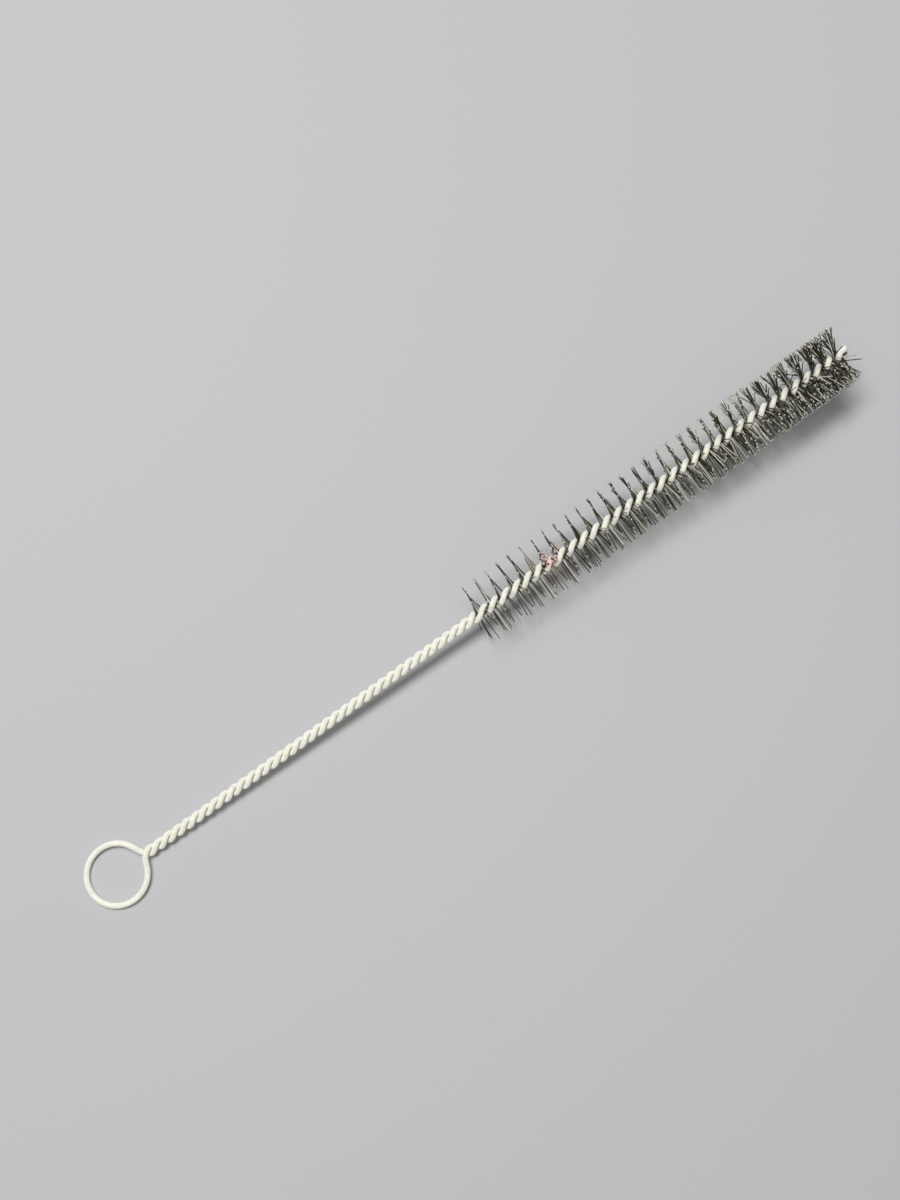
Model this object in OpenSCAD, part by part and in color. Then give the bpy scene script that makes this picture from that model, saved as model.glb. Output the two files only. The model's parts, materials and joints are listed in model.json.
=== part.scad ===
// Test tube brush: one wire bent into a finger loop, then twisted shut over nylon filaments.
// It lies at rest on Z = 0, along X, with the loop at the -X end and the cut tip at the +X end.

/* [Wire] */
// Length from the outer end of the loop to the cut tip
overall_l = 160; // [120:1:220]
// Diameter of the wire
wire_d = 1; // [0.8:0.05:1.2]
// Clearance between the two strands of the stem
strand_gap = 0.04; // [0.02:0.01:0.1]
// Length of one turn of the twist in the stem
stem_pitch = 3.86; // [3.6:0.02:6]
// Length of one turn of the twist in the brush
brush_pitch = 4.79; // [4.4:0.02:7]

/* [Finger loop] */
// Inside diameter of the loop
loop_d = 9.4; // [6:0.1:20]
// Distance from the loop's centre line to the neck, where its legs cross
neck_l = 0.85; // [0.5:0.05:4]

/* [Brush] */
// Length of wire that grips filaments
brush_l = 78; // [40:1:90]
// Length of the two straight wire ends past the last filament
tip_l = 1.48; // [0.6:0.02:5]
// Diameter over the filaments at the stem end
brush_d = 11.6; // [8:0.1:16]
// Diameter over the filaments at the tip
brush_tip_d = 10.8; // [8:0.1:16]

/* [Filaments] */
// Diameter of one filament
filament_d = 0.18; // [0.12:0.01:0.3]
// Clearance between a filament and each strand that grips it
grip_gap = 0.01; // [0.01:0.01:0.05]
// Clear distance between neighbouring filaments at the stem end
stem_gap = 0.28; // [0.1:0.01:0.6]
// Clear distance between neighbouring filaments at the tip
tip_gap = 0.08; // [0.08:0.01:0.6]
// Most that a filament is cut short by the trimming
trim = 0.3; // [0:0.05:0.8]
// Largest lean of a filament along the wire at the stem end, in degrees
stem_lean_angle = 3; // [0:0.5:4]
// Largest lean of a filament along the wire at the tip, in degrees
tip_lean_angle = 7; // [0:0.5:7]
// How far the worn tip is swept, its +Y side forwards and its -Y side backwards, in degrees
sweep_angle = 9; // [0:0.5:9]
// Length of the swept tip
sweep_l = 9; // [2:0.5:20]

/* [Hidden] */

// Facets of the swept wire: sides of a section, rings on a strand, steps on half the loop and a leg
wire_sides = 8;
strand_rings = 308;
arc_steps = 12;
leg_steps = 4;

// Seeds of the lean and the trim
lean_seed = 7;
trim_seed = 11;

// Stations along the brush, measured from the outer end of the loop
wire_r = wire_d / 2;
loop_r = loop_d / 2 + wire_r;
loop_x = wire_r + loop_r;
neck_x = loop_x + loop_r + neck_l;
twist_end_x = overall_l - tip_l;
brush_x = twist_end_x - brush_l;

// The twist, in degrees from the neck
stem_turn = 360 * (brush_x - neck_x) / stem_pitch;
whole_turn = stem_turn + 360 * brush_l / brush_pitch;
turn_step = whole_turn / strand_rings;

// Distance of a strand from the axis; the rings lie a little further out, so that the chords clear it
stem_r = (wire_d + strand_gap) / 2;
brush_r = (wire_d + filament_d) / 2 + grip_gap;
ring_reach = 1 / cos(turn_step / 2);

function twist_x(turn) = turn < stem_turn
    ? neck_x + turn * stem_pitch / 360
    : brush_x + (turn - stem_turn) * brush_pitch / 360;

// The strands open over the last turn of the stem to take the filaments
function strand_r(x) =
    stem_r + (brush_r - stem_r) * max(0, min(1, 1 + (x - brush_x) / stem_pitch));

function strand_point(turn) =
    let (x = twist_x(turn), r = strand_r(x) * ring_reach)
    [x, r * sin(turn), r * cos(turn)];

function unit(v) = v / norm(v);

// Point at u from 0 to 1 on the smooth curve that leaves a along from and reaches b along into
function blend(a, from, b, into, u) =
    let (reach = norm(b - a) / 3, p = a + reach * from, q = b - reach * into, v = 1 - u)
    v * v * v * a + 3 * v * v * u * p + 3 * v * u * u * q + u * u * u * b;

// One half of the loop, from its outer end to where a leg leaves it as a tangent
leg_angle = acos(loop_r / (neck_x - loop_x));
half_loop = [
    for (i = [0 : arc_steps])
        let (a = 180 + (180 - leg_angle) * i / arc_steps)
        [loop_x + loop_r * cos(a), loop_r * sin(a), 0]
];

// The leg rises to the neck, where it crosses over the other leg and runs into the twist
leg_start = half_loop[arc_steps];
leg_end = strand_point(0);
leg_way = [sin(leg_angle), cos(leg_angle), 0];
twist_way = unit([stem_pitch / (2 * PI * stem_r), 1, 0]);
leg = [
    for (i = [1 : leg_steps - 1])
        blend(leg_start, leg_way, leg_end, twist_way, i / leg_steps)
];
strand = [for (i = [0 : strand_rings]) strand_point(i * turn_step)];
tip = strand[strand_rings] + [tip_l, 0, 0];

// The other half of the wire is this one turned half a turn about the axis
half_wire = concat(half_loop, leg, strand, [tip]);
wire_path = concat(
    [for (i = [len(half_wire) - 1 : -1 : 1]) half_wire[i]],
    [for (p = half_wire) [p.x, -p.y, -p.z]]
);

// Filaments: how far along the brush each is gripped, its turn, its lean and its length
function share(s) = s / brush_l;
function spacing(s) = filament_d + stem_gap + (tip_gap - stem_gap) * share(s);
stations = [for (s = 0; s <= brush_l; s = s + spacing(s)) s];
last_filament = len(stations) - 1;
turns = [for (s = stations) stem_turn + 360 * s / brush_pitch];

// A filament leans at random, more towards the tip, and the swept tip leans as a whole
function most_lean(s) = stem_lean_angle + (tip_lean_angle - stem_lean_angle) * share(s) * share(s);
function sweep_lean(s) = sweep_angle * max(0, 1 - (brush_l - s) / sweep_l);
stray = rands(-1, 1, last_filament + 1, lean_seed);
leans = [
    for (i = [0 : last_filament])
        stray[i] * most_lean(stations[i]) - cos(turns[i]) * sweep_lean(stations[i])
];
trims = rands(0, trim, last_filament + 1, trim_seed);
lengths = [
    for (i = [0 : last_filament])
        brush_d + (brush_tip_d - brush_d) * share(stations[i]) - trims[i]
];

// At rest the outer end of the loop and the lowest filament end touch the surface
function filament_rest(i) =
    let (
        upright = abs(cos(leans[i]) * sin(turns[i])),
        run = brush_x + stations[i] - sign(sin(turns[i])) * sin(leans[i]) * lengths[i] / 2 - wire_r,
        drop = upright * lengths[i] / 2 + sqrt(1 - upright * upright) * filament_d / 2
    )
    atan2(drop, run) - asin(wire_r / norm([run, drop]));
rest_tilt = max([for (i = [0 : last_filament]) filament_rest(i)]);

// A round bar swept along a path that never stands upright
module bar(path, radius, sides) {
    last = len(path) - 1;
    points = [
        for (i = [0 : last])
            let (
                along = unit(path[min(i + 1, last)] - path[max(i - 1, 0)]),
                side = unit(cross([0, 0, 1], along)),
                up = cross(along, side)
            )
            for (j = [0 : sides - 1])
                path[i] + radius * (cos(360 * j / sides) * side + sin(360 * j / sides) * up)
    ];
    walls = [
        for (i = [0 : last - 1], j = [0 : sides - 1])
            let (
                a = i * sides + j,
                b = i * sides + (j + 1) % sides,
                c = b + sides,
                d = a + sides
            )
            each [[a, d, c], [a, c, b]]
    ];
    start_cap = [for (j = [0 : sides - 1]) j];
    end_cap = [for (j = [sides - 1 : -1 : 0]) last * sides + j];
    polyhedron(points, concat(walls, [start_cap, end_cap]));
}

module at_rest() {
    translate([-overall_l * cos(rest_tilt) / 2, 0, wire_r * (1 - sin(rest_tilt))])
        rotate([0, -rest_tilt, 0])
            children();
}

module filament(length) {
    cylinder(h = length, d = filament_d, center = true);
}

module wire() {
    color("gainsboro")
        at_rest()
            bar(wire_path, wire_r, wire_sides);
}

module bristles() {
    color("darkslategray")
        at_rest()
            for (i = [0 : last_filament])
                translate([brush_x + stations[i], 0, 0])
                    rotate([90 - turns[i], 0, 0])
                        rotate([0, leans[i], 0])
                            filament(lengths[i]);
}

wire();
bristles();
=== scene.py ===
import json
import math

import bpy
import numpy as np
from mathutils import Matrix, Vector


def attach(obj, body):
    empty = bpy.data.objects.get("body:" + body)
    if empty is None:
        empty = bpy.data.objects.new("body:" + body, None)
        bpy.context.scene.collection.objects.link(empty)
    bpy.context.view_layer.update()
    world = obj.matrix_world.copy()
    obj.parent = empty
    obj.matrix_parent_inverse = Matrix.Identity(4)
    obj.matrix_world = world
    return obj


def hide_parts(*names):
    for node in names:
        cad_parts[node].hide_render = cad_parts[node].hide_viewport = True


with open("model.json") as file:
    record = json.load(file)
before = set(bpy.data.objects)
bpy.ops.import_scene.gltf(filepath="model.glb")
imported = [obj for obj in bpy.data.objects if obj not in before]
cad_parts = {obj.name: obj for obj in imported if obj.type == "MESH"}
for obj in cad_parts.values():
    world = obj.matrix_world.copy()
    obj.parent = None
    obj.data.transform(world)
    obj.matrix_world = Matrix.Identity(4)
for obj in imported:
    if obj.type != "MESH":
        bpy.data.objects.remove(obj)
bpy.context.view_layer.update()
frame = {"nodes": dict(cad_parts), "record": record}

# The wire: one length of drawn steel wire with a thin, dull zinc coat. It is bent round a peg into
# the finger loop, its legs cross at the neck, and from there its two halves are twisted together
# as far as the tip, where both are sheared off.
OVERALL_L = 0.160
WIRE_D = 0.001
WIRE_R = WIRE_D / 2
LOOP_R = 0.0047 + WIRE_R
NECK_X = LOOP_R + 0.00085
TIP_X = OVERALL_L - LOOP_R - WIRE_R
TWIST_END_X = TIP_X - 0.00148
BRUSH_L = 0.078
BRUSH_X = TWIST_END_X - BRUSH_L
STEM_PITCH = 0.00386
BRUSH_PITCH = 0.00479
FILAMENT_D = 0.00018
STRAND_GAP = 0.00004
GRIP_GAP = 0.00001
STEM_STRAND_R = (WIRE_D + STRAND_GAP) / 2
BRUSH_STRAND_R = (WIRE_D + FILAMENT_D) / 2 + GRIP_GAP
STEM_TURNS = (BRUSH_X - NECK_X) / STEM_PITCH
WHOLE_TURNS = STEM_TURNS + BRUSH_L / BRUSH_PITCH

RINGS_PER_TURN = 28
LOOP_RINGS = 40
LEG_RINGS = 14
TIP_RINGS = 5
SHORT_END = 0.00035
END_SPLAY = 0.00016
SHEAR_SLANT = math.radians(24)
SHEAR_CHAMFER = 0.00005
SHEAR_CHAMFER_DEPTH = 0.00004
WIRE_SIDES = 16
WIRE_CREASE = math.radians(35)
# Share of the groove's painted shade that falls on the stem
STEM_SHADE = 0.5

# The brush's own axis is X, with the centre of the loop at its origin, and it lies as the loop does
loop_mount = frame["record"]["mounts"][0]
loop_up = Vector(loop_mount["axis"]).normalized()
brush_along = Vector((loop_up.z, 0, -loop_up.x))
lie = Matrix((brush_along, (0, 1, 0), loop_up)).transposed().to_4x4()
lie.translation = Vector(loop_mount["pos_m"])


def strand_line(turns):
    """Centre line of one strand, by turns from the neck."""
    stem_x = NECK_X + turns * STEM_PITCH
    brush_x = BRUSH_X + (turns - STEM_TURNS) * BRUSH_PITCH
    x = np.where(turns < STEM_TURNS, stem_x, brush_x)
    opened = np.clip(1 + (x - BRUSH_X) / STEM_PITCH, 0, 1)
    reach = STEM_STRAND_R + (BRUSH_STRAND_R - STEM_STRAND_R) * opened
    angle = turns * math.tau
    return np.stack([x, reach * np.sin(angle), reach * np.cos(angle)], 1)


def half_wire_line(end_l):
    """Centre line of half the wire: half the loop, a leg, a strand and its end, sprung out."""
    leg_angle = math.acos(LOOP_R / NECK_X)
    sweep = np.linspace(math.pi, math.tau - leg_angle, LOOP_RINGS)
    loop = np.stack([LOOP_R * np.cos(sweep), LOOP_R * np.sin(sweep), 0 * sweep], 1)

    strand = strand_line(np.linspace(0, WHOLE_TURNS, round(WHOLE_TURNS * RINGS_PER_TURN)))

    leave = np.array([math.sin(leg_angle), math.cos(leg_angle), 0])
    twist_slope = STEM_PITCH / (math.tau * STEM_STRAND_R)
    arrive = np.array([twist_slope, 1, 0]) / math.hypot(twist_slope, 1)
    reach = np.linalg.norm(strand[0] - loop[-1]) / 3
    corners = [loop[-1], loop[-1] + reach * leave, strand[0] - reach * arrive, strand[0]]
    u = np.linspace(0, 1, LEG_RINGS)[1:-1, None]
    weights = [(1 - u) ** 3, 3 * (1 - u) ** 2 * u, 3 * (1 - u) * u**2, u**3]
    leg = sum(weight * corner for weight, corner in zip(weights, corners))

    run = np.linspace(0, 1, TIP_RINGS)[1:, None]
    outward = strand[-1] * np.array([0, 1, 1]) / BRUSH_STRAND_R
    end = strand[-1] + run * np.array([end_l, 0, 0]) + run**2 * outward * END_SPLAY
    return np.concatenate([loop, leg, strand, end])


long_half = half_wire_line(TIP_X - TWIST_END_X)
short_half = half_wire_line(TIP_X - TWIST_END_X - SHORT_END) * np.array([1, -1, -1])
wire_line = np.concatenate([long_half[:0:-1], short_half])
ring_count = len(wire_line)

bpy.ops.object.select_all(action="DESELECT")
bpy.ops.curve.primitive_nurbs_path_add()
wire = bpy.context.object
wire.name = "twisted_wire"
wire.data.splines.clear()
route = wire.data.splines.new("POLY")
route.points.add(ring_count - 1)
route.points.foreach_set("co", np.c_[wire_line, np.ones(ring_count)].ravel())
wire.data.bevel_depth = WIRE_R
wire.data.bevel_resolution = WIRE_SIDES // 2 - 2
bpy.ops.object.convert(target="MESH")

# The ends are sheared on a slant and closed, with the edge of each cut a little rounded over
bpy.ops.object.mode_set(mode="EDIT")
bpy.ops.mesh.select_mode(type="EDGE")
bpy.ops.mesh.select_all(action="DESELECT")
bpy.ops.mesh.select_non_manifold()
bpy.ops.mesh.fill_holes(sides=WIRE_SIDES)
bpy.ops.mesh.select_mode(type="FACE")
bpy.ops.mesh.select_all(action="DESELECT")
bpy.ops.object.mode_set(mode="OBJECT")
cuts = [face.index for face in wire.data.polygons if len(face.vertices) == WIRE_SIDES]
for cut in cuts:
    cut_middle = wire.data.polygons[cut].center.copy()
    wire.data.polygons[cut].select = True
    bpy.ops.object.mode_set(mode="EDIT")
    bpy.ops.transform.rotate(value=SHEAR_SLANT, orient_axis="Z", center_override=cut_middle)
    bpy.ops.mesh.inset(thickness=SHEAR_CHAMFER, depth=SHEAR_CHAMFER_DEPTH)
    bpy.ops.mesh.select_all(action="DESELECT")
    bpy.ops.object.mode_set(mode="OBJECT")
bpy.ops.object.mode_set(mode="EDIT")
bpy.ops.mesh.select_all(action="SELECT")
bpy.ops.mesh.normals_make_consistent(inside=False)
bpy.ops.object.mode_set(mode="OBJECT")
bpy.ops.object.shade_smooth_by_angle(angle=WIRE_CREASE)


def mesh_points(mesh):
    """Places of a mesh's vertices, one a row."""
    places = np.zeros(3 * len(mesh.vertices))
    mesh.vertices.foreach_get("co", places)
    return places.reshape(-1, 3)


def write_attribute(mesh, name, kind, domain, values):
    """Store a value for each vertex or face, for the material to read."""
    field = "vector" if kind == "FLOAT_VECTOR" else "value"
    made = mesh.attributes.new(name, kind, domain)
    made.data.foreach_set(field, np.asarray(values, dtype=float).ravel())


# Each vertex keeps its place on the wire as drawn, still straight, how deep it lies in the groove
# between the strands, scaled by how strong the painted shade there is, which is most in the brush,
# and whether it is on a cut end
points = mesh_points(wire.data)
ring_of = np.minimum(np.arange(len(points)) // WIRE_SIDES, ring_count - 1)
around = np.arange(len(points)) % WIRE_SIDES * math.tau / WIRE_SIDES
steps = np.linalg.norm(np.diff(wire_line, axis=0), axis=1)
length_to = np.concatenate([[0], np.cumsum(steps)])
as_drawn = np.stack([length_to[ring_of], WIRE_R * np.cos(around), WIRE_R * np.sin(around)], 1)
from_axis = np.hypot(points[:, 1], points[:, 2])
# The groove's painted shade is full in the brush, weaker on the stem and none in the loop
shade_strength = np.where(points[:, 0] > BRUSH_X, 1, STEM_SHADE) * (points[:, 0] > NECK_X)
groove = np.clip(1 - from_axis / WIRE_D, 0, 1) * shade_strength
on_cut = np.arange(len(points)) >= ring_count * WIRE_SIDES
write_attribute(wire.data, "as_drawn", "FLOAT_VECTOR", "POINT", as_drawn)
write_attribute(wire.data, "groove", "FLOAT", "POINT", groove)
write_attribute(wire.data, "cut", "FLOAT", "POINT", on_cut)
wire.data.transform(lie)


def shader_node(tree, kind, inputs, **settings):
    """New node with its settings; an input that is another node's output is linked."""
    made = tree.nodes.new(kind)
    for name, value in settings.items():
        setattr(made, name, value)
    for key, value in inputs.items():
        if isinstance(value, bpy.types.NodeSocket):
            tree.links.new(value, made.inputs[key])
        else:
            made.inputs[key].default_value = value
    return made


def attribute(tree, name, output="Fac"):
    return shader_node(tree, "ShaderNodeAttribute", {}, attribute_name=name).outputs[output]


def noise(tree, vector, scale, detail=3.0, roughness=0.55):
    inputs = {"Vector": vector, "Scale": scale, "Detail": detail, "Roughness": roughness}
    return shader_node(tree, "ShaderNodeTexNoise", inputs).outputs["Fac"]


def remap(tree, value, low, high, to_low, to_high):
    """Carry a range of values smoothly onto another."""
    inputs = {
        "Value": value,
        "From Min": low,
        "From Max": high,
        "To Min": to_low,
        "To Max": to_high,
    }
    made = shader_node(tree, "ShaderNodeMapRange", inputs, interpolation_type="SMOOTHSTEP")
    return made.outputs["Result"]


def blend_colour(tree, share, under, over):
    """Lay one colour over another by a share from 0 to 1."""
    made = shader_node(tree, "ShaderNodeMix", {0: share, 6: under, 7: over}, data_type="RGBA")
    return made.outputs[2]


def multiply(tree, a, b):
    return shader_node(tree, "ShaderNodeMath", {0: a, 1: b}, operation="MULTIPLY").outputs[0]


# A dried pink stain lies across two turns of the wire, on the upper side of the brush
STAIN_AT = (0.0905, 0.0007, 0.0008)
STAIN_L = 0.0020
STAIN_GRAIN = 1900


def stain_share(tree, reach):
    """Share of the stain on a surface, ragged at its edge; reach is how far it runs outwards."""
    place = shader_node(tree, "ShaderNodeTexCoord", {}).outputs["Object"]
    centred = {
        "Vector": place,
        "Location": lie @ Vector(STAIN_AT),
        "Rotation": lie.to_euler(),
        "Scale": (STAIN_L, reach, reach),
    }
    spot = shader_node(tree, "ShaderNodeMapping", centred, vector_type="TEXTURE").outputs["Vector"]
    away = shader_node(tree, "ShaderNodeVectorMath", {0: spot}, operation="LENGTH").outputs["Value"]
    near = remap(tree, away, 0.2, 1, 1, 0)
    ragged = noise(tree, place, STAIN_GRAIN, 4.0)
    return remap(tree, multiply(tree, near, ragged), 0.14, 0.34, 0, 1)


ZINC = (0.95, 0.945, 0.84, 1)
ZINC_DULL = (0.80, 0.795, 0.715, 1)
ZINC_TARNISH = (0.89, 0.87, 0.76, 1)
# Dark painted shade for the groove between the strands
GROOVE_PAINTED_SHADE = (0.13, 0.11, 0.075, 1)
SHEARED_STEEL = (0.55, 0.55, 0.54, 1)
STAIN_ON_ZINC = (0.89, 0.74, 0.665, 1)
STAIN_ON_WIRE_R = 0.0022
DIE_LINE_STRETCH = (160, 8500, 8500)
DIE_LINE_DEPTH = 0.00002
MOTTLE_GRAIN = 2600
PATCH_GRAIN = 210

zinc = bpy.data.materials.new("dull_zinc_on_drawn_wire")
zinc.use_nodes = True
tree = zinc.node_tree
shader = tree.nodes["Principled BSDF"]
drawn_place = attribute(tree, "as_drawn", "Vector")
stretch = {"Vector": drawn_place, "Scale": DIE_LINE_STRETCH}
along_wire = shader_node(tree, "ShaderNodeMapping", stretch).outputs["Vector"]
die_lines = noise(tree, along_wire, 1.0, 4.0)
mottle = noise(tree, drawn_place, MOTTLE_GRAIN, 4.0)
patches = noise(tree, drawn_place, PATCH_GRAIN, 3.0)
colour = blend_colour(tree, remap(tree, mottle, 0.42, 0.68, 0, 0.75), ZINC, ZINC_DULL)
colour = blend_colour(tree, remap(tree, patches, 0.48, 0.72, 0, 0.6), colour, ZINC_TARNISH)
colour = blend_colour(tree, remap(tree, die_lines, 0.5, 0.7, 0, 0.6), colour, ZINC_DULL)
# Painted shade darkens the groove between the strands, most in the brush
groove_shade = remap(tree, attribute(tree, "groove"), 0.2, 0.6, 0, 0.9)
colour = blend_colour(tree, groove_shade, colour, GROOVE_PAINTED_SHADE)
colour = blend_colour(tree, attribute(tree, "cut"), colour, SHEARED_STEEL)
colour = blend_colour(tree, stain_share(tree, STAIN_ON_WIRE_R), colour, STAIN_ON_ZINC)
relief = shader_node(
    tree,
    "ShaderNodeBump",
    {"Strength": 0.5, "Distance": DIE_LINE_DEPTH, "Height": die_lines},
).outputs["Normal"]
tree.links.new(colour, shader.inputs["Base Color"])
tree.links.new(remap(tree, mottle, 0.3, 0.7, 0.42, 0.58), shader.inputs["Roughness"])
tree.links.new(relief, shader.inputs["Normal"])
shader.inputs["Metallic"].default_value = 0.06
shader.inputs["Diffuse Roughness"].default_value = 1.0
wire.data.materials.clear()
wire.data.materials.append(zinc)
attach(wire, "root")
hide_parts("wire")

# The filaments: dark nylon monofilament, laid across the wire in a thin layer and gripped where its
# halves are twisted shut over it, then trimmed to a cylinder. Use has bent them, most of all at the
# tip, and the trimming has left their ends a little spread. Their cut ends are pale, partly as the
# whitened cut and partly as a painted glint, and the upper side of the flattest is painted pale as
# a highlight.
FILAMENT_SIDES = 5
FILAMENT_CUTS = 4
FILAMENT_CREASE = math.radians(80)
FLARE_L = 0.045
FLARE_SPREAD = 1.4
WELD = 0.000001
CHANCE_SEED = 17
FULLER = 0.4
TIP_FULLER = 4.2
FLAT_SHARE = 1.2
RAISED_LACK = 0.75
TIP_RAISED_LACK = 0.2
UNEVEN = 0.8
COMBED = 0.7
COMB_LEAN = math.radians(3.5)
COMBED_L = 0.022
GRIPPED_R = 0.0011
LEAN_ALONG = 0.00006
TIP_LEAN_ALONG = 0.0011
PAST_TIP = 0.0006
SWING = math.radians(1)
TIP_SWING = math.radians(16)
PRESSED = 1.0
BEND = 0.00006
TIP_BEND = 0.00032
STRAY_SHARE = 0.04
STRAY_BEND = 3.0
LOOSE_ENDS = 16
LOOSE_BEND = 0.0006
MOST_LEAN = 1.6
MOST_SWING = 1.6
MOST_BEND = 2
# Shares of filaments whose upper side is painted pale as a highlight, for the flattest ones
FLAT_HIGHLIGHT = 0.85
TIP_FLAT_HIGHLIGHT = 0.80
HIGHLIGHT_ON_TOP = 0.9

bpy.ops.object.select_all(action="DESELECT")
laid = frame["nodes"]["bristles"].copy()
laid.data = laid.data.copy()
bpy.context.collection.objects.link(laid)
laid.select_set(True)
bpy.context.view_layer.objects.active = laid
bpy.ops.object.mode_set(mode="EDIT")
bpy.ops.mesh.select_all(action="SELECT")
bpy.ops.mesh.remove_doubles(threshold=WELD)
bpy.ops.mesh.separate(type="LOOSE")
bpy.ops.object.mode_set(mode="OBJECT")


def middle_and_half(solid):
    """Middle of a packed filament, and the way from there to one of its ends."""
    ends = mesh_points(solid.data)
    middle = ends.mean(axis=0)
    way = np.linalg.svd(ends - middle)[2][0]
    return middle, way * np.abs((ends - middle) @ way).max()


def turned(way, turns):
    """Turn a filament about the brush's axis, the way that the twist turns."""
    return np.array(Matrix.Rotation(-turns * math.tau, 3, brush_along) @ Vector(way))


packed = [middle_and_half(solid) for solid in bpy.context.selected_objects]
packed.sort(key=lambda lay: lay[0][0])
bpy.ops.object.delete()

# Each packed filament begins a tuft, and the rest of the tuft fans round to the next one. The tufts
# are fuller towards the tip, and where they lie flat. Near the stem they are even, and lean alike.
chance = np.random.default_rng(CHANCE_SEED)
brush_axis = np.array(brush_along)
brush_up = np.array(loop_up)
lays = []
middle, half = packed[0]
for number, (next_middle, next_half) in enumerate(packed[1:]):
    turns = (next_middle - middle) @ brush_axis / BRUSH_PITCH
    next_half = next_half * np.sign(next_half @ turned(half, turns))
    worn = number / len(packed)
    raised = abs(half @ brush_up) / np.linalg.norm(half)
    lack = RAISED_LACK + (TIP_RAISED_LACK - RAISED_LACK) * worn**2
    fuller = (FULLER + (TIP_FULLER - FULLER) * worn**1.5) * (FLAT_SHARE - lack * raised)
    tuft = int(1 + fuller + chance.random())
    for share in (np.arange(tuft) + UNEVEN * (chance.random(tuft) - 0.5)) / tuft:
        way = (1 - share) * turned(half, share * turns)
        way += share * turned(next_half, (share - 1) * turns)
        at = middle + share * (next_middle - middle)
        combed = max(0, 1 - (at - packed[0][0]) @ brush_axis / COMBED_L)
        way -= brush_axis * (way @ brush_axis) * COMBED * (1 - worn)
        way += brush_axis * (way @ brush_up) * math.tan(COMB_LEAN) * combed
        lays.append((at, way))
    middle, half = next_middle, next_half
lays.append((middle, half))

# One filament is modelled straight, from -1 to 1, with rings to bend at and spread cut ends
SHANK_L = 2 - 2 * FLARE_L
bpy.ops.mesh.primitive_cylinder_add(
    vertices=FILAMENT_SIDES, radius=FILAMENT_D / 2, depth=SHANK_L
)
straight = bpy.context.object
bpy.ops.object.mode_set(mode="EDIT")
bpy.ops.mesh.select_mode(type="EDGE")
bpy.ops.mesh.select_all(action="DESELECT")
bpy.ops.object.mode_set(mode="OBJECT")
for edge in straight.data.edges:
    ends = [straight.data.vertices[v].co.z for v in edge.vertices]
    edge.select = ends[0] * ends[1] < 0
bpy.ops.object.mode_set(mode="EDIT")
bpy.ops.mesh.subdivide(number_cuts=FILAMENT_CUTS)
bpy.ops.mesh.select_mode(type="FACE")
for end in (-1, 1):
    bpy.ops.mesh.select_all(action="DESELECT")
    bpy.ops.object.mode_set(mode="OBJECT")
    for face in straight.data.polygons:
        face.select = face.normal.z * end > 0.9
    bpy.ops.object.mode_set(mode="EDIT")
    bpy.ops.mesh.extrude_region_move(TRANSFORM_OT_translate={"value": (0, 0, end * FLARE_L)})
    bpy.ops.transform.resize(value=(FLARE_SPREAD, FLARE_SPREAD, 1), center_override=(0, 0, end))
bpy.ops.object.mode_set(mode="OBJECT")
bpy.ops.object.shade_smooth_by_angle(angle=FILAMENT_CREASE)
straight.data.materials.append(bpy.data.materials.new("black_nylon_monofilament"))
straight.data.materials.append(bpy.data.materials.new("cut_nylon_end_glint"))
straight.data.materials.append(bpy.data.materials.new("dried_stain"))
for face in straight.data.polygons:
    face.material_index = int(abs(face.center.z) > 1 - FLARE_L)

# One crumb of the dried stain, a rough lump; copies of it cling to the wire and the filaments
# beside the stain, and a few to the ends of filaments on the -Y side
CRUMBS_A_SIDE = 10
CRUMBS_REACH = 0.0017
WIRE_CRUMBS = 24
WIRE_CRUMBS_R = 0.0016
CRUMBS_SIDE = (0, 0.75, 0.66)
CRUMBS_ROUND = 0.25
FAR_CRUMBS = 4
FAR_CRUMBS_X = 0.0886
FAR_CRUMBS_L = 0.0008
FAR_CRUMBS_SIDE = -0.6
FAR_CRUMBS_OUT = (0.84, 0.99)
CRUMB_R = 0.00017
CRUMB_SIZES = (0.6, 1.8)
CRUMB_ROUGH = 0.4
CRUMB_SEED = 3
CRUMB_CREASE = math.radians(60)
bpy.ops.mesh.primitive_ico_sphere_add(subdivisions=1, radius=1)
crumb = bpy.context.object
bpy.ops.object.mode_set(mode="EDIT")
bpy.ops.transform.vertex_random(offset=CRUMB_ROUGH, seed=CRUMB_SEED)
bpy.ops.object.mode_set(mode="OBJECT")
bpy.ops.object.shade_smooth_by_angle(angle=CRUMB_CREASE)
for material in straight.data.materials:
    crumb.data.materials.append(material)
for face in crumb.data.polygons:
    face.material_index = 2
crumb_points = mesh_points(crumb.data)
stain_at = np.array(lie @ Vector(STAIN_AT))
far_crumbs_at = np.array(lie @ Vector((FAR_CRUMBS_X, 0, 0)))
crumb_side = np.array(lie.to_3x3() @ Vector(CRUMBS_SIDE))
wire_points = mesh_points(wire.data)
from_stain = np.linalg.norm(wire_points - stain_at - crumb_side * CRUMB_R * 2, axis=1)
crumb_places = list(chance.choice(wire_points[from_stain < WIRE_CRUMBS_R], WIRE_CRUMBS))
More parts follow.
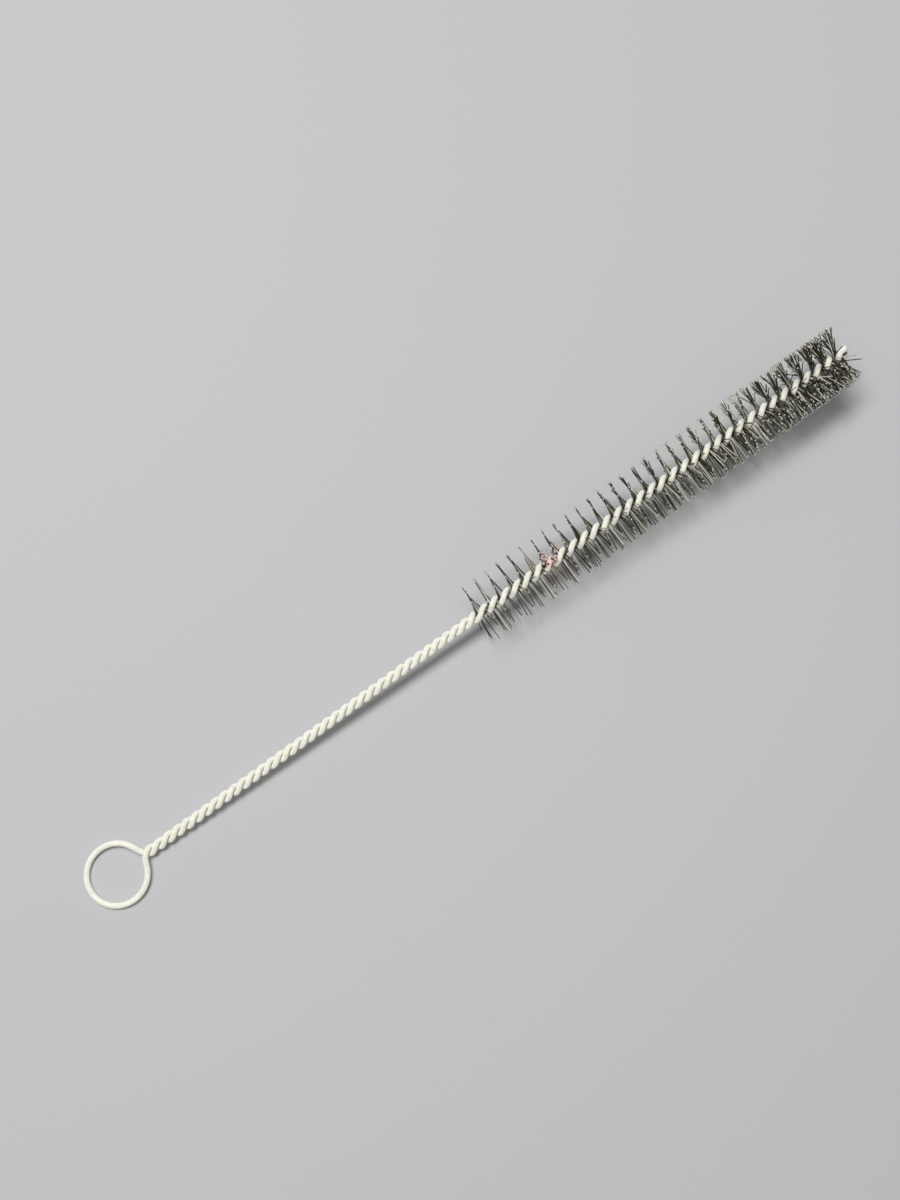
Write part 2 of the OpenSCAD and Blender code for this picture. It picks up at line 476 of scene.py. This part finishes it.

# Each copy stays straight where the wire grips it. Past that it leans along the wire, swings round
# it, is pressed flatter and bends, all of them more towards the worn tip, and none leans far past
# the last one. The flatter it lies, the likelier its upper side is painted pale as a highlight.
straight_points = mesh_points(straight.data)
down_filament = straight_points[:, 2]
filaments = []
for number, (middle, half) in enumerate(lays):
    reach = np.linalg.norm(half)
    way = half / reach
    across = np.cross(brush_axis, way)
    across /= np.linalg.norm(across)
    side = np.cross(way, across)

    worn = number / len(lays)
    leans = np.clip(chance.normal(0, 1, 2), -MOST_LEAN, MOST_LEAN)
    leans *= LEAN_ALONG + TIP_LEAN_ALONG * worn**1.5
    leans = np.minimum(leans, (lays[-1][0] - middle) @ brush_axis + PAST_TIP)
    upright, level = way @ brush_up, across @ brush_up
    flatten = -math.atan2(upright * np.sign(level), abs(level))
    swings = np.clip(chance.normal(0, 1, 2), -MOST_SWING, MOST_SWING)
    swings *= SWING + TIP_SWING * worn**2
    swings += chance.random(2) * PRESSED * worn**1.5 * flatten
    bends = np.clip(chance.normal(0, 1, (2, 2)), -MOST_BEND, MOST_BEND)
    bends *= BEND + TIP_BEND * worn**3
    bends *= np.where(chance.random(2) < STRAY_SHARE, STRAY_BEND, 1)[:, None]
    if number > len(lays) - LOOSE_ENDS:
        bends[:, 0] += chance.random(2) ** 2 * LOOSE_BEND

    free = np.clip((np.abs(down_filament) * reach - GRIPPED_R) / (reach - GRIPPED_R), 0, 1)
    first_half = down_filament < 0
    swing = np.where(first_half, swings[0], swings[1]) * np.sqrt(free)
    swung = np.outer(np.cos(swing), way) + np.outer(np.sin(swing), across)
    beside_it = np.outer(np.cos(swing), across) - np.outer(np.sin(swing), way)
    bend = np.where(first_half[:, None], bends[0], bends[1]) * free[:, None] ** 2
    bend[:, 0] += np.where(first_half, leans[0], leans[1]) * free
    line = middle + (down_filament * reach)[:, None] * swung
    line = line + np.outer(bend[:, 0], brush_axis) + bend[:, 1:] * beside_it
    line[:, 2] = np.maximum(line[:, 2], FILAMENT_D / 2)
    bent = line + straight_points[:, :1] * beside_it + np.outer(straight_points[:, 1], side)

    filament = straight.copy()
    filament.data = straight.data.copy()
    filament.data.vertices.foreach_set("co", bent.ravel())
    drawn = np.c_[down_filament * reach + number * BRUSH_PITCH, straight_points[:, :2]]
    write_attribute(filament.data, "as_drawn", "FLOAT_VECTOR", "POINT", drawn)
    raised = np.abs(swung[[down_filament.argmin(), down_filament.argmax()]] @ brush_up).mean()
    # The flatter a filament lies, the likelier its upper side is painted pale, a painted highlight
    highlighted = (FLAT_HIGHLIGHT + (TIP_FLAT_HIGHLIGHT - FLAT_HIGHLIGHT) * worn) * (1 - raised) ** 3
    tint = chance.random() ** (1 - highlighted)
    facing_up = np.clip(HIGHLIGHT_ON_TOP * (1 + (bent - line)[:, 2] / (FILAMENT_D / 2)), 0, 1)
    write_attribute(filament.data, "tint", "FLOAT", "POINT", tint * facing_up)
    bpy.context.collection.objects.link(filament)
    filaments.append(filament)

    beside = np.exp(-(((middle - stain_at) @ brush_axis / STAIN_L) ** 2))
    for end in (-1, 1):
        facing = np.clip(end * way @ crumb_side + CRUMBS_ROUND, 0, 1)
        for _ in range(chance.binomial(CRUMBS_A_SIDE, beside * facing)):
            out = (GRIPPED_R + CRUMBS_REACH * chance.random() ** 1.5) / reach
            crumb_places.append(middle + end * out * half + chance.normal(0, CRUMB_R, 3))
        far = abs((middle - far_crumbs_at) @ brush_axis) < FAR_CRUMBS_L
        if far and end * way[1] < FAR_CRUMBS_SIDE:
            for out in chance.uniform(*FAR_CRUMBS_OUT, FAR_CRUMBS):
                crumb_places.append(middle + end * out * half)

for place in crumb_places:
    lump = crumb.copy()
    lump.data = crumb.data.copy()
    size = CRUMB_R * chance.uniform(*CRUMB_SIZES, 3)
    lump.data.vertices.foreach_set("co", (place + crumb_points * size).ravel())
    shade = np.full(len(crumb_points), chance.random())
    write_attribute(lump.data, "tint", "FLOAT", "POINT", shade)
    bpy.context.collection.objects.link(lump)
    filaments.append(lump)

bpy.data.objects.remove(straight)
bpy.data.objects.remove(crumb)
bpy.ops.object.select_all(action="DESELECT")
for filament in filaments:
    filament.select_set(True)
bristles = filaments[0]
bpy.context.view_layer.objects.active = bristles
bpy.ops.object.join()
bristles.name = "nylon_bristles"

NYLON = (0.020, 0.0185, 0.007, 1)
NYLON_WORN = (0.072, 0.066, 0.030, 1)
# Pale colour of a painted highlight on the upper side of flat-lying filaments
NYLON_PAINTED_HIGHLIGHT = (0.84, 0.83, 0.70, 1)
NYLON_DUST = (0.34, 0.33, 0.28, 1)
# Pale cut ends: partly the whitened cut, partly a painted glint
NYLON_CUT = (0.86, 0.845, 0.76, 1)
NYLON_CUT_DULL = (0.42, 0.40, 0.33, 1)
STAIN_ON_NYLON = (0.15, 0.052, 0.036, 1)
STAIN_ON_NYLON_R = 0.0046
STREAK_STRETCH = (900, 14000, 14000)
DUST_GRAIN = 5200

nylon, cut_nylon, dried_stain = bristles.data.materials
nylon.use_nodes = True
tree = nylon.node_tree
shader = tree.nodes["Principled BSDF"]
drawn_place = attribute(tree, "as_drawn", "Vector")
stretch = {"Vector": drawn_place, "Scale": STREAK_STRETCH}
along_filament = shader_node(tree, "ShaderNodeMapping", stretch).outputs["Vector"]
streaks = noise(tree, along_filament, 1.0, 3.0)
dust = noise(tree, drawn_place, DUST_GRAIN, 2.0)
colour = blend_colour(tree, remap(tree, streaks, 0.4, 0.75, 0, 1), NYLON, NYLON_WORN)
# The upper side of the flattest filaments is painted pale, a painted highlight
highlight_share = remap(tree, attribute(tree, "tint"), 0.72, 0.95, 0, 1)
colour = blend_colour(tree, highlight_share, colour, NYLON_PAINTED_HIGHLIGHT)
colour = blend_colour(tree, remap(tree, dust, 0.66, 0.74, 0, 0.6), colour, NYLON_DUST)
stain = blend_colour(tree, remap(tree, dust, 0.55, 0.62, 0, 1), STAIN_ON_NYLON, STAIN_ON_ZINC)
colour = blend_colour(tree, stain_share(tree, STAIN_ON_NYLON_R), colour, stain)
tree.links.new(colour, shader.inputs["Base Color"])
tree.links.new(remap(tree, streaks, 0.3, 0.75, 0.12, 0.22), shader.inputs["Roughness"])
shader.inputs["IOR"].default_value = 1.53
shader.inputs["Specular IOR Level"].default_value = 0.4
shader.inputs["Specular Tint"].default_value = (1, 0.95, 0.78, 1)

cut_nylon.use_nodes = True
tree = cut_nylon.node_tree
shader = tree.nodes["Principled BSDF"]
# The cut ends are pale, partly the whitened cut and partly a painted glint
colour = blend_colour(tree, attribute(tree, "tint"), NYLON_CUT, NYLON_CUT_DULL)
colour = blend_colour(tree, stain_share(tree, STAIN_ON_NYLON_R), colour, STAIN_ON_ZINC)
tree.links.new(colour, shader.inputs["Base Color"])
shader.inputs["Roughness"].default_value = 0.7

dried_stain.use_nodes = True
tree = dried_stain.node_tree
shader = tree.nodes["Principled BSDF"]
stale = remap(tree, attribute(tree, "tint"), 0.3, 0.7, 0, 1)
colour = blend_colour(tree, stale, STAIN_ON_NYLON, STAIN_ON_ZINC)
tree.links.new(colour, shader.inputs["Base Color"])
shader.inputs["Roughness"].default_value = 0.8
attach(bristles, "root")
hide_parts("bristles")

# The floor: a plain pale sheet, wide enough to run past the edges of the picture. It isn't part of
# the brush.
FLOOR_W = 3.0
FLOOR_PALE = (0.56, 0.56, 0.565, 1)
FLOOR_FLECK = (0.5, 0.5, 0.5, 1)
FLOOR_GRAIN = 900
bpy.ops.object.select_all(action="DESELECT")
bpy.ops.mesh.primitive_plane_add(size=FLOOR_W)
floor = bpy.context.object
floor.name = "floor"
pale = bpy.data.materials.new("pale_floor")
pale.use_nodes = True
tree = pale.node_tree
shader = tree.nodes["Principled BSDF"]
place = shader_node(tree, "ShaderNodeTexCoord", {}).outputs["Object"]
grain = noise(tree, place, FLOOR_GRAIN, 3.0)
shade = blend_colour(tree, remap(tree, grain, 0.3, 0.7, 0, 0.04), FLOOR_PALE, FLOOR_FLECK)
tree.links.new(shade, shader.inputs["Base Color"])
shader.inputs["Roughness"].default_value = 0.75
floor.data.materials.append(pale)

# The light: one soft panel high on the +Y side, which puts the shadow close on the -Y side, and an
# even pale surround that fills it.
KEY_AT = Vector((-0.05, 0.20, 0.68))
KEY_L = 0.45
KEY_W = 0.20
KEY_POWER = 3.95
SURROUND = (0.27, 0.27, 0.274, 1)
bpy.ops.object.light_add(type="AREA", location=KEY_AT)
key = bpy.context.object
key.name = "key_panel"
key.rotation_euler = KEY_AT.to_track_quat("Z", "Y").to_euler()
key.data.shape = "RECTANGLE"
key.data.size = KEY_L
key.data.size_y = KEY_W
key.data.energy = KEY_POWER
surround = bpy.data.worlds.new("surround")
surround.use_nodes = True
surround.node_tree.nodes["Background"].inputs["Color"].default_value = SURROUND
bpy.context.scene.world = surround

# The camera: close above the brush, with the picture upright and the loop low on its left
CAMERA_AT = (-0.03125, -0.03157, 0.26413)
CAMERA_TURN = tuple(math.radians(a) for a in (10.293, -0.624, -35.633))
LENS = 46
SENSOR_W = 36
NEAREST = 0.005
bpy.ops.object.camera_add(location=CAMERA_AT, rotation=CAMERA_TURN)
camera = bpy.context.object
camera.data.lens = LENS
camera.data.sensor_width = SENSOR_W
camera.data.clip_start = NEAREST
bpy.context.scene.camera = camera
bpy.context.scene.view_settings.view_transform = "Standard"
